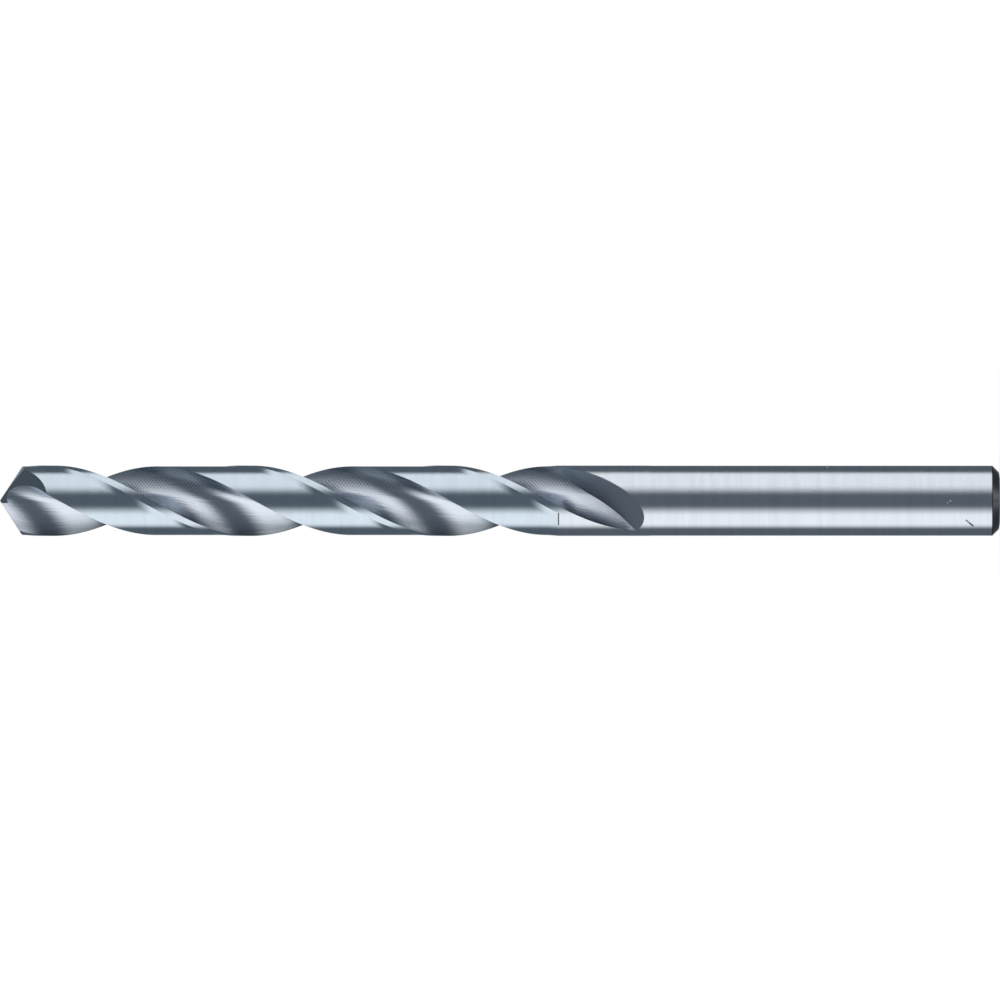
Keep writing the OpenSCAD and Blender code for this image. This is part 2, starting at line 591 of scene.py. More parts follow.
    def flute(self) -> Wire:
        """Make the space of one flute: the lip's curve and the heel's, swept up the helix.

        Returns:
            The space.
        """
        b, s = self.board, self.size
        first, last = self.fine.cutting_steps, self.fine.heel_steps
        points = first + last + 3
        low, high = s.flute_end - self.PAST, s.overall_l + self.PAST
        tube, k, z = self.sweep(points, self.fine.flute_rings, low, high)
        w = self.half_web_at(z)
        floor = self.floor_turn(z)
        outermost = k < 0.5
        inward = b.most(1 - (k - 1) / first, 0.0)
        along = b.blend(outermost, s.lip_l * inward**s.web_crowding, b.sqrt(s.full_r * s.full_r - w * w))
        turn = b.atan2(w, along) - b.asin(w / s.drill_r) - s.twist * s.lip_fall * (s.lip_l - along)
        reach = b.sqrt(along * along + w * w)
        angle = self.edge_turn(z) + turn
        step = k - (first + 1)
        a = b.least(step / last, 1.0) * (math.pi / 2)
        out_r = b.sqrt(s.full_r * s.full_r - s.floor_reach * s.floor_reach)
        depth = b.blend(step > last + 0.5, w + (s.heel_reach - w) * (1 - b.cos(a)), out_r)
        aside = s.floor_reach * b.sin(a)
        heel = step > 0.5
        x = b.blend(heel, reach * b.cos(angle), depth * b.cos(floor) - aside * b.sin(floor))
        y = b.blend(heel, reach * b.sin(angle), depth * b.sin(floor) + aside * b.cos(floor))
        climb = b.most(s.runout_start - z, 0.0) / s.runout_l
        lift = s.runout_rise * climb * climb * climb
        lean = floor + b.radians(s.runout_lean)
        space = self.place(tube, x + lift * b.cos(lean), y + lift * b.sin(lean), z)
        return self.cut(self.coat(space, Surface.FLUTE), self.leaf_block())

    def leaf_block(self) -> Wire:
        """Make the block whose top is the flat leaf face at the flute's end.

        Returns:
            The block.
        """
        b, s = self.board, self.size
        block = self.coat(self.box(s.flute_l * 2, s.flute_l, s.flute_l), Surface.LEAF)
        block = self.move(block, shift=(0.0, 0.0, s.flute_l / -2))
        tilt = math.pi / 2 - b.radians(s.leaf_angle)
        block = self.move(block, turn=(0.0, tilt, 0.0), shift=(s.drill_r, 0.0, s.flute_end))
        return self.spin(block, self.floor_turn(s.flute_end) + b.radians(s.leaf_turn))

    def clearance(self) -> Wire:
        """Make the space behind one margin: an arc at the body's radius, and a slope that steepens upward.

        Returns:
            The space.
        """
        b, s = self.board, self.size
        steps, rise = self.fine.arc_steps, self.SLOPE_STEPS
        points = steps + rise + 4
        tube, k, z = self.sweep(points, self.fine.clearance_rings, s.clearance_end, s.overall_l + self.PAST)
        foot = self.edge_turn(z) - s.margin_w / s.drill_r - s.slope
        heel = self.floor_turn(z) - math.pi + b.asin(s.floor_reach / s.drill_r) - self.HEEL_PAST
        arc = heel + (foot - heel) * (b.most(k - 1, 0.0) / steps)
        tail = b.most(k - (steps + 1), 0.0)
        up = b.least(tail, float(rise)) * (self.SLOPE_PAST / rise)
        high = foot + s.slope * self.SLOPE_PAST
        number = b.most(tail - rise, 0.0)
        depth = b.least((z - s.clearance_end) / s.clearance_taper + self.STEP_LEFT, 1.0)
        inner = b.blend(k < 0.5, s.drill_r - s.clearance_h * depth * (1 - up * up), s.full_r)
        r = self.pick(number, [inner, s.full_r, s.full_r])
        turn = self.pick(number, [b.blend(tail > 0.5, arc, foot + s.slope * up), high, (high + heel) / 2])
        return self.coat(self.place(tube, r * b.cos(turn), r * b.sin(turn), z), Surface.LAND)

    def flank(self) -> Wire:
        """Make what is ground off behind one lip: its side of the point, outside the flank's cone.

        Returns:
            What is ground off.
        """
        b, s = self.board, self.size
        across = s.drill_d + s.chisel_l / 8
        block = self.box(s.drill_d * 2, across, s.drill_d * 2)
        block = self.move(block, shift=(0.0, across / 2 - s.drill_d, s.corner_z))
        block = self.spin(block, b.radians(s.notch_turn))
        relief, cone = b.radians(s.relief_angle), b.radians(s.flank_cone)
        sin_half, cos_half = b.sin(s.half_point), b.cos(s.half_point)
        ax = b.cos(cone) * sin_half - b.sin(cone) * cos_half * b.cos(relief)
        ay = b.sin(cone) * b.sin(relief)
        az = -(b.cos(cone) * cos_half) - b.sin(cone) * sin_half * b.cos(relief)
        length = s.flank_reach * 3
        grinding = b.add(
            "GeometryNodeMeshCone",
            {"fill_type": "NGON"},
            {
                "Vertices": self.fine.cone_facets,
                "Radius Top": length * b.tan(cone),
                "Radius Bottom": 0.0,
                "Depth": length,
            },
        )
        tilt = b.acos(az)
        tip = (-(s.flank_reach * sin_half), s.half_web, s.lip_top + s.flank_reach * cos_half)
        turn = (0.0, tilt, b.atan2(ay, ax))
        grinding = self.move(self.coat(grinding, Surface.FLANK), turn=turn, shift=tip)
        return self.spin(self.cut(self.coat(block, Surface.FLANK), grinding), b.radians(s.lip_turn))

    def notch(self) -> Wire:
        """Make one notch of the split point: a wall beside the chisel edge, and a floor that falls away.

        Returns:
            The notch.
        """
        b, s = self.board, self.size
        wide, wider = s.drill_d * 2, s.drill_d * 4
        wall = self.move(self.box(wide, wide, wide), shift=(0.0, s.drill_d - s.chisel_l / 2, s.overall_l))
        floor = self.move(self.box(wider, wider, wider), shift=(0.0, 0.0, wide))
        floor = self.move(floor, turn=(0.0, math.pi / 2 - b.radians(s.notch_slope), 0.0))
        floor = self.move(floor, turn=(0.0, 0.0, b.radians(s.notch_tilt)), shift=(0.0, 0.0, s.overall_l))
        shape = self.coat(self.cut(wall, floor, operation="INTERSECT"), Surface.NOTCH)
        return self.spin(shape, b.radians(s.lip_turn) + b.radians(s.notch_turn))

    def assemble(self) -> None:
        """Cut the flutes, clearances, flanks and notches from the blank, and end the tree.

        Each face keeps the finish of the shape that cut it, so the last Set Material selects none.
        """
        b = self.board
        solid = self.blank()
        for tool in (self.flute(), self.clearance(), self.flank(), self.notch()):
            solid = self.cut(solid, tool, self.spin(tool, math.pi))
        scaled = b.add("GeometryNodeTransform", None, {"Geometry": solid, "Scale": (MM, MM, MM)})
        real = b.add("GeometryNodeRealizeInstances", None, {"Geometry": scaled})
        none = b.add("GeometryNodeInputIndex") < -0.5
        b.add("NodeGroupOutput", None, {0: self.coat(real, Surface.SHANK, none)})

    def grind(self, name: str) -> bpy.types.Object:
        """Run the tree and keep its result as a plain mesh.

        Args:
            name: Name of the new object.

        Returns:
            The object, with no modifier left on it.
        """
        piece = put(name, bpy.data.meshes.new(name))
        modifier = piece.modifiers.new("grinding", "NODES")
        modifier.node_group = self.tree
        for item in self.tree.interface.items_tree:
            if item.item_type == "SOCKET" and item.in_out == "INPUT":
                modifier[item.identifier] = getattr(self.sizes, item.name.lower().replace(" ", "_"))
        graph = bpy.context.evaluated_depsgraph_get()
        mesh = bpy.data.meshes.new_from_object(piece.evaluated_get(graph), depsgraph=graph)
        piece.modifiers.remove(modifier)
        piece.data = mesh
        mesh.name = name
        if mesh.materials[0] is None:
            slots = np.empty(len(mesh.polygons), dtype=np.int32)
            mesh.polygons.foreach_get("material_index", slots)
            mesh.materials.pop(index=0)
            mesh.polygons.foreach_set("material_index", slots - 1)
        return piece


class DrillShading:
    """Sharp edges and shading normals: exact on round and conical faces, and set in the flutes."""

    # Angle between two faces past which the edge between them stays sharp
    SHARP = math.radians(16)
    # How closely a face looks along the ideal surface's normal, as a cosine, to be taken as part of it
    BARREL_FIT = 0.985
    LAND_FIT = 0.9
    CONE_FIT = 0.995
    # Most that a land's face looks along the axis
    LAND_RISE = 0.5
    # Lean of the slope behind a margin at its steepest, and the least share of its depth that counts
    SLOPE_LEAN = math.radians(13.5)
    LEAST_DEPTH = 0.01
    # Turns of the flutes' normals: by the cutting edge, on the heel wall, by its rim and in the runout
    EDGE_TURN = math.radians(13)
    WALL_TURN = math.radians(18)
    RIM_TURN = math.radians(8)
    LEAVE_TURN = math.radians(24)
    # Where across the flute the wall's turn and the rim's set in, and over what share of it
    WALL_PLACE = (0.5, 0.28)
    RIM_PLACE = (0.8, 0.2)
    # How high above the flutes' end the runout's turn and tilt reach, and over what height they grow
    LEAVE_PLACE = (8.4, 6.0)
    LAST_PLACE = (5.3, 2.0)
    # Tilt of the flutes' normals toward the point, its share in the middle, and what the runout adds
    RISE = math.radians(13)
    RISE_MIDDLE = 0.35
    LEAVE_RISE = math.radians(7)

    def __init__(self, sizes: DrillSizes, looks: Looks, mesh: bpy.types.Mesh) -> None:
        """Read the mesh's corners, after its sharp edges are marked.

        Args:
            sizes: The drill's sizes.
            looks: The finish of each surface, by which the faces are known.
            mesh: The drill's mesh, in metres.
        """
        self.sizes = sizes
        self.looks = looks
        self.mesh = mesh
        mesh.polygons.foreach_set("use_smooth", [True] * len(mesh.polygons))
        mesh.set_sharp_from_angle(angle=self.SHARP)
        at = self.read(mesh.loops, "vertex_index", np.int32)
        self.points = self.read(mesh.vertices, "co", np.float64, 3)[at] / MM
        self.normals = np.array([tuple(n.vector) for n in mesh.corner_normals])
        totals = self.read(mesh.polygons, "loop_total", np.int32)
        self.facing = np.repeat(self.read(mesh.polygons, "normal", np.float64, 3), totals, axis=0)
        self.slot = np.repeat(self.read(mesh.polygons, "material_index", np.int32), totals)
        self.round_out = self.unit(self.points * (1, 1, 0))
        self.outward = np.einsum("ij,ij->i", self.facing, self.round_out)

    @staticmethod
    def read(items: bpy.types.bpy_prop_collection, name: str, kind: type, width: int = 1) -> np.ndarray:
        """Read one property of all vertices, loops or polygons.

        Args:
            items: The mesh's vertices, loops or polygons.
            name: The property.
            kind: The type of its numbers.
            width: How many numbers each item has.

        Returns:
            The numbers, in rows where an item has more than one.
        """
        values = np.empty(len(items) * width, dtype=kind)
        items.foreach_get(name, values)
        return values.reshape(-1, width) if width > 1 else values

    @staticmethod
    def unit(rows: np.ndarray) -> np.ndarray:
        """Scale each row to a length of 1."""
        return rows / np.maximum(np.linalg.norm(rows, axis=1, keepdims=True), TINY)

    @staticmethod
    def ease(value: np.ndarray) -> np.ndarray:
        """Go smoothly from 0 to 1."""
        step = np.clip(value, 0, 1)
        return step * step * (3 - 2 * step)

    def made_of(self, surface: Surface) -> np.ndarray:
        """Tell which corners lie on faces of a surface's finish."""
        return self.slot == self.mesh.materials.find(self.looks[surface].name)

    def dress(self) -> None:
        """Give the mesh its normals, and the attribute that its flutes' finish reads."""
        self.shade_barrel()
        self.shade_slopes()
        self.shade_flanks()
        across = self.across_flute()
        self.shade_flutes(across)
        self.mesh.attributes.new("across", "FLOAT", "CORNER").data.foreach_set("value", across)
        self.mesh.normals_split_custom_set([tuple(n) for n in self.normals])

    def shade_barrel(self) -> None:
        """Make the blank's skin exactly round, and tilt its normals over the neck by the slight taper."""
        s, normals = self.sizes, self.normals
        barrel = self.made_of(Surface.SHANK) & (self.outward > self.BARREL_FIT)
        normals[barrel] = self.round_out[barrel]
        top = s.flute_end - s.neck_gap
        into = np.clip((self.points[:, 2] - (top - s.neck_l)) / s.neck_l, 0, 1)
        lean = s.shank_relief / s.neck_l * np.sin(np.pi * into)
        neck = barrel & (into > 0) & (into < 1)
        normals[neck, 2] = -lean[neck]
        normals[neck] = self.unit(normals[neck])

    def shade_slopes(self) -> None:
        """Let the slope behind each margin flow into the land at its foot."""
        s, points, round_out = self.sizes, self.points, self.round_out
        level = np.abs(self.facing[:, 2]) < self.LAND_RISE
        slope = self.made_of(Surface.LAND) & level & (self.outward > self.LAND_FIT)
        height = np.hypot(points[:, 0], points[:, 1]) - s.drill_r + s.clearance_h
        above = (points[:, 2] - s.overall_l + s.clearance_l) / s.clearance_taper
        depth = np.clip(above, self.LEAST_DEPTH, 1)
        steep = np.sqrt(np.clip(1 - (1 - height / s.clearance_h) / depth, 0, 1))
        lean = (self.SLOPE_LEAN * steep[slope])[:, None]
        down = np.full(len(points), -s.twist * s.drill_r)
        ahead = self.unit(np.column_stack([-round_out[:, 1], round_out[:, 0], down]))
        self.normals[slope] = round_out[slope] * np.cos(lean) - ahead[slope] * np.sin(lean)

    def across_flute(self) -> np.ndarray:
        """Tell how far across its flute each corner lies.

        Returns:
            0 at the cutting edge, 0.5 at the flute's deepest line and 1 at the heel.
        """
        s = self.sizes
        x, y, z = self.points.T
        web = s.web_t / 2 + s.web_gain / HALF_GAIN_SPAN * (s.corner_z - z)
        back = math.pi / 2 - s.twist * s.lip_l / math.tan(math.radians(s.point_angle / 2))
        floor = s.corner_turn + s.twist * (z - s.corner_z) + back - np.arcsin(web / s.drill_r)
        lift = s.runout_rise * np.clip((s.flute_end - z) / s.runout_l + 1, 0, None) ** 3
        across = np.zeros(len(z))
        for half in (0.0, math.pi):
            way = floor + half
            lean = way + math.radians(s.runout_lean)
            px, py = x - lift * np.cos(lean), y - lift * np.sin(lean)
            out = px * np.cos(way) + py * np.sin(way)
            side = py * np.cos(way) - px * np.sin(way)
            along = np.sqrt(np.clip(out**2 + side**2 - web**2, 0, None))
            cutting = np.clip(0.5 - 0.5 * along / s.lip_l, 0, 0.5)
            heel = 0.5 + np.arcsin(np.clip(side / s.floor_reach, 0, 1)) / math.pi
            across = np.where(out > 0, np.where(side > 0, heel, cutting), across)
        return across

    def shade_flutes(self, across: np.ndarray) -> None:
        """Turn the flutes' normals so that the light falls in them as in the photo, seen from the front.

        Args:
            across: How far across its flute each corner lies.
        """
        flute = self.made_of(Surface.FLUTE)
        at, over = across[flute], self.points[flute, 2] - self.sizes.flute_end
        edge = np.clip(1 - at / 0.5, 0, 1) ** 2
        wall = self.ease((at - self.WALL_PLACE[0]) / self.WALL_PLACE[1])
        rim = self.ease((at - self.RIM_PLACE[0]) / self.RIM_PLACE[1])
        leave = np.clip((self.LEAVE_PLACE[0] - over) / self.LEAVE_PLACE[1], 0, 1)
        last = self.ease((self.LAST_PLACE[0] - over) / self.LAST_PLACE[1])
        turn = self.WALL_TURN * wall - self.RIM_TURN * rim - self.EDGE_TURN * edge * (1 - leave)
        turn += self.LEAVE_TURN * leave
        sides = self.RISE_MIDDLE + (1 - self.RISE_MIDDLE) * np.abs(2 * self.ease(at) - 1)
        x, y, z = self.normals[flute].T
        z = z + np.tan(self.RISE * sides + self.LEAVE_RISE * last) * np.hypot(x, y)
        cos, sin = np.cos(turn), np.sin(turn)
        self.normals[flute] = self.unit(np.column_stack([x * cos - y * sin, x * sin + y * cos, z]))

    def shade_flanks(self) -> None:
        """Give both flanks the normals of the cones that they are ground to."""
        s, flank = self.sizes, self.made_of(Surface.FLANK)
        tip, axis = s.flank_axis()
        cone = math.radians(s.flank_cone)
        for half in (0.0, math.pi):
            turn = Matrix.Rotation(math.radians(s.lip_turn) + half, 3, "Z")
            apex, line = np.array(turn @ tip), np.array(turn @ axis)
            out = self.points - apex
            out = self.unit(out - (out @ line)[:, None] * line)
            normal = math.cos(cone) * out - math.sin(cone) * line
            fits = flank & (np.einsum("ij,ij->i", normal, self.facing) > self.CONE_FIT)
            self.normals[fits] = normal[fits]


@dataclass(frozen=True)
class Spot:
    """A place on the drill as its finish sees it, in millimetres.

    r is its distance from the axis, still is the place itself, and turned is the place in the frame that
    turns with the flutes.
    """

    board: Board
    x: Wire
    y: Wire
    z: Wire
    r: Wire
    still: Wire
    turned: Wire


@dataclass(frozen=True)
class SteelFinish:
    """Bare ground steel, whose fine marks differ from one surface to the next.

    deep is the colour where the tone is high, spread is how much the roughness varies, and relief is the
    height of the marks in metres.
    """

    name: str
    colour: Triple = (0.695, 0.80, 0.893)
    deep: Triple = (0.50, 0.56, 0.66)
    roughness: float = 0.16
    spread: float = 0.05
    relief: float = 1.2e-6
    twist: float = DrillSizes().twist

    # Cells of the noise for each millimetre: fine lines, and the broad bands that they lie in
    LINES = (0.25, 0.25, 9.0)
    BANDS = (0.12, 0.12, 1.4)
    # Share of the bands in the tone and in the height, and the tone that all of the surface has
    BAND_TONE = 0.5
    BAND_HEIGHT = 0.6
    BASE_TONE = 0.1

    def material(self) -> bpy.types.Material:
        """Build the material.

        Returns:
            A node material that reads Object coordinates and the piece's own attribute only.
        """
        look = bpy.data.materials.new(self.name)
        b = Board.fresh(look)
        spot = self.locate(b)
        tone, rough, height = self.marks(spot)
        tint = self.tint(spot, tone)
        bump = b.add("ShaderNodeBump", None, {"Strength": 1.0, "Distance": self.relief, "Height": height})
        steel = {"Base Color": tint, "Metallic": 1.0, "Roughness": rough, "Normal": bump}
        shader = b.add("ShaderNodeBsdfPrincipled", None, steel)
        b.add("ShaderNodeOutputMaterial", None, {"Surface": shader})
        return look

    def locate(self, b: Board) -> Spot:
        """Work out where a point lies on the drill.

        Args:
            b: The material's board.

        Returns:
            The point's place.
        """
        here = b.add("ShaderNodeTexCoord", out="Object")
        still = b.add("ShaderNodeVectorMath", {"operation": "SCALE"}, {0: here, 3: 1 / MM})
        x = b.add("ShaderNodeSeparateXYZ", None, {0: still})
        y, z = x.twin(1), x.twin(2)
        back = z * -self.twist
        turned = b.vector(x * b.cos(back) - y * b.sin(back), x * b.sin(back) + y * b.cos(back), z)
        return Spot(b, x, y, z, b.sqrt(x * x + y * y), still, turned)

    def tint(self, spot: Spot, tone: Wire) -> Wire:
        """Colour the steel, deeper where the tone is high."""
        return spot.board.mix(tone, self.colour, self.deep)

    def rough(self, noise: Wire) -> Wire:
        """Vary the roughness with a noise."""
        return (noise - 0.5) * self.spread + self.roughness

    def marks(self, spot: Spot) -> tuple[Wire, Wire, Wire]:
        """Make the surface's fine marks.

        Args:
            spot: The place on the drill.

        Returns:
            The share of the deeper colour, the roughness and the height.
        """
        lines = spot.board.noise(spot.still, self.LINES)
        bands = spot.board.noise(spot.still, self.BANDS)
        tone = (bands - 0.5) * self.BAND_TONE + self.BASE_TONE
        return tone, self.rough(lines), lines + bands * self.BAND_HEIGHT


@dataclass(frozen=True)
class Mark:
    """A scratch or speck of wear, or a line of painted shade: its two ends on the seen side in millimetres,
    and its width.
    """

    x1: float
    z1: float
    x2: float
    z2: float
    width: float

    # Distance from the middle at which a mark has faded out, in half widths
    FADED = 1.5

    def share(self, spot: Spot) -> Wire:
        """Give 1 on the mark, and fade to 0 beside it.

        Args:
            spot: The place on the drill.

        Returns:
            The share.
        """
        b = spot.board
        along_x, along_z = self.x2 - self.x1, self.z2 - self.z1
        square = max(along_x**2 + along_z**2, TINY)
        from_x, from_z = spot.x - self.x1, spot.z - self.z1
        way = b.least(b.most((from_x * along_x + from_z * along_z) / square, 0.0), 1.0)
        off_x, off_z = from_x - way * along_x, from_z - way * along_z
        off = b.sqrt(off_x * off_x + off_z * off_z)
        return b.least(b.most(self.FADED - off * (2 / self.width), 0.0), 1.0) * (spot.y < 0.0)


@dataclass(frozen=True)
class ShankFinish(SteelFinish):
    """The blank's round skin, bluer on the margins, with a few marks of wear and a line of painted shade
    where the clearance ends.
    """

    margin: Triple = (0.69, 0.79, 0.88)
    dark: Triple = (0.06, 0.06, 0.08)
    scratches: tuple[Mark, ...] = (
        Mark(-2.42, 4.31, -2.8, 3.85, 0.14),
        Mark(-2.8, 3.85, -3.12, 3.44, 0.2),
        # Painted shade: a dark line where the clearance's step ends, not a scratch
        Mark(-1.6, 55.2, -3.0, 55.2, 0.15),
    )
    specks: tuple[Mark, ...] = (
        Mark(-0.03, 6.28, -0.03, 6.24, 0.17),
        Mark(-0.24, 6.62, -0.24, 6.60, 0.13),
        Mark(4.18, 21.6, 4.18, 21.58, 0.14),
        Mark(1.3, 22.6, 1.3, 22.55, 0.10),
    )

    # Heights between which the colour goes over to the margins', and the dark line by the chamfer ends
    MARGINS = (54.4, 56.5)
    END_LINE = (1.0, 1.12)
    SPECK_ROUGH = 0.8

    def tint(self, spot: Spot, tone: Wire) -> Wire:
        """Colour the skin by its height, and darken the scratches, the painted shade line where the
        clearance ends, and the line by the chamfer.

        Args:
            spot: The place on the drill.
            tone: The share of the deeper colour.

        Returns:
            The colour.
        """
        b = spot.board
        skin = b.mix(b.ramp(spot.z, *self.MARGINS), self.colour, self.margin)
        line = 1 - b.ramp(spot.z, *self.END_LINE)
        # The dark marks are worn scratches and one line of painted shade
        wear_and_shade = reduce(b.most, [scratch.share(spot) for scratch in self.scratches], line)
        return b.mix(wear_and_shade, b.mix(tone, skin, self.deep), self.dark)

    def marks(self, spot: Spot) -> tuple[Wire, Wire, Wire]:
        """Make fine rings around the shank, and small rough specks.

        Args:
            spot: The place on the drill.

        Returns:
            The share of the deeper colour, the roughness and the height.
        """
        tone, rough, height = SteelFinish.marks(self, spot)
        bright = reduce(spot.board.most, [speck.share(spot) for speck in self.specks])
        return tone - bright, rough + bright * self.SPECK_ROUGH, height


@dataclass(frozen=True)
class FluteFinish(SteelFinish):
    """A flute's ground wall: streaks along the helix, with feed marks across them, and painted shade by its
    cutting edge, on its heel wall and in the runout.
    """

    # Cells of the noises for each millimetre
    STREAKS = (5.0, 5.0, 0.16)
    FINE = (13.0, 13.0, 0.5)
    GRAIN = (7.0, 7.0, 7.0)
    SPECKS = (3.0, 3.0, 2.2)
    # Heights between which the runout gives way to the full flute, and the point's share sets in
    LEAVING = (46.5, 54.0)
    NEAR_TIP = (119.5, 123.0)
    # Width of the painted shade band by the cutting edge, what it gains above the runout, and loses at the
    # point
    BAND = 0.08
    BAND_GAIN = 0.37
    TIP_LOSS = 0.75
    # Where across the flute the heel wall darkens with painted shade, and the tones of wall, runout and
    # marks; those of wall and runout are painted shade
    WALL = (0.5, 0.8)
    WALL_TONE = 0.12
    LEAVING_TONE = 0.52
    STREAK_TONE = 0.3
    FINE_TONE = 0.15
    # Specks by the rim: distances from the axis, limits of their noise, and what they do
    RIM = (4.0, 4.38)
    SPECK_LIMITS = (0.6, 0.68)
    SPECK_TONE = 0.4
    SPECK_ROUGH = 0.15
    # Feed marks: their pitch in millimetres, their rows across, where they begin and end, and their tone
    FEED_PITCH = 0.42
    FEED_ROWS = 90.0
    FEED_START = (0.62, 0.7)
    FEED_END = (0.8, 0.87)
    FEED_TONE = 0.8
    # Heights of streaks, fine lines and grain, where that of the feed marks is 1
    STREAK_HEIGHT = 5
    FINE_HEIGHT = 1.5
    GRAIN_HEIGHT = 0.3

    def marks(self, spot: Spot) -> tuple[Wire, Wire, Wire]:
        """Make the flute darker by its cutting edge, on its heel wall and in the runout, as painted shade,
        with streaks that follow the helix.

        Args:
            spot: The place on the drill.

        Returns:
            The share of the deeper colour, the roughness and the height.
        """
        b = spot.board
        across = b.add("ShaderNodeAttribute", {"attribute_name": "across"}, out="Fac")
        streaks = b.noise(spot.turned, self.STREAKS, detail=3.0)
        fine = b.noise(spot.turned, self.FINE)
        grain = b.noise(spot.still, self.GRAIN)
        leaving = b.ramp(spot.z, *self.LEAVING)
        # Painted shade: a dark band along the cutting edge, weaker near the point
        edge_shade = b.most(1 - across / (leaving * self.BAND_GAIN + self.BAND), 0.0)
        near_tip = b.ramp(spot.z, *self.NEAR_TIP)
        tone = edge_shade * edge_shade * (1 - near_tip * self.TIP_LOSS) + b.ramp(across, *self.WALL) * self.WALL_TONE
        # Painted shade: the runout below the full flute is darker
        tone = tone + (1 - leaving) * self.LEAVING_TONE
        patches = b.noise(spot.still, self.SPECKS, detail=4.0)
        specks = b.ramp(patches, *self.SPECK_LIMITS) * b.ramp(spot.r, *self.RIM)
        feed = b.sin(spot.z * (2 * math.pi / self.FEED_PITCH)) * b.sin(across * self.FEED_ROWS)
        feed = feed * b.ramp(across, *self.FEED_START) * (1 - b.ramp(across, *self.FEED_END))
        tone = tone + (streaks - 0.5) * self.STREAK_TONE + (fine - 0.5) * self.FINE_TONE
        tone = tone + specks * self.SPECK_TONE + feed * self.FEED_TONE
        height = streaks * self.STREAK_HEIGHT + fine * self.FINE_HEIGHT + grain * self.GRAIN_HEIGHT + feed
        return tone, self.rough(fine) + specks * self.SPECK_ROUGH, height


@dataclass(frozen=True)
class PointFinish(SteelFinish):
    """A face of the point, ground across with a fine wheel."""

    LINES = (9.0, 0.6, 4.0)

    def marks(self, spot: Spot) -> tuple[Wire, Wire, Wire]:
        """Make fine lines across the face."""
        lines = spot.board.noise(spot.still, self.LINES)
        return (lines - 0.5) * self.BAND_TONE + self.BASE_TONE, self.rough(lines), lines


@dataclass(frozen=True)
class LeafFinish(SteelFinish):
    """The flat face at a flute's end, dull and finely lined along its length, with a painted highlight on
    its outer rim.
    """

    # Colour of the painted highlight on the rim
    rim: Triple = (0.93, 0.96, 1.0)

    LINES = (9.0, 1.0, 1.0)
    # What the lines' direction takes from z across and along them, and from y
    SLANT = (0.62, 0.05, 0.3)
    # The painted highlight's distances from the axis and places along X, and the heights over which the
    # face lightens
    RIM = (4.29, 4.37)
    RIM_SIDE = (1.2, 2.2)
    LOW = (46.5, 54.5)

    def tint(self, spot: Spot, tone: Wire) -> Wire:
        """Colour the face, with a painted highlight on its outer rim toward +X.

        Args:
            spot: The place on the drill.
            tone: The share of the deeper colour.

        Returns:
            The colour.
        """
        b = spot.board
        # Painted highlight: the outer rim is lighter on the +X side only
        rim = b.ramp(spot.r, *self.RIM) * b.ramp(spot.x, *self.RIM_SIDE)
        return b.mix(rim, b.mix(tone, self.colour, self.deep), self.rim)

    def marks(self, spot: Spot) -> tuple[Wire, Wire, Wire]:
        """Make fine lines that run along the face.

        Args:
            spot: The place on the drill.

        Returns:
            The share of the deeper colour, the roughness and the height.
        """
        b = spot.board
        across, along, aside = self.SLANT
        slant = b.vector(spot.x - spot.z * across, spot.y * aside, spot.z * along)
        lines = b.noise(slant, self.LINES, detail=3.0)
        low = 1 - b.ramp(spot.z, *self.LOW)
        return (lines - 0.5) * self.BAND_TONE + low, self.rough(lines), lines


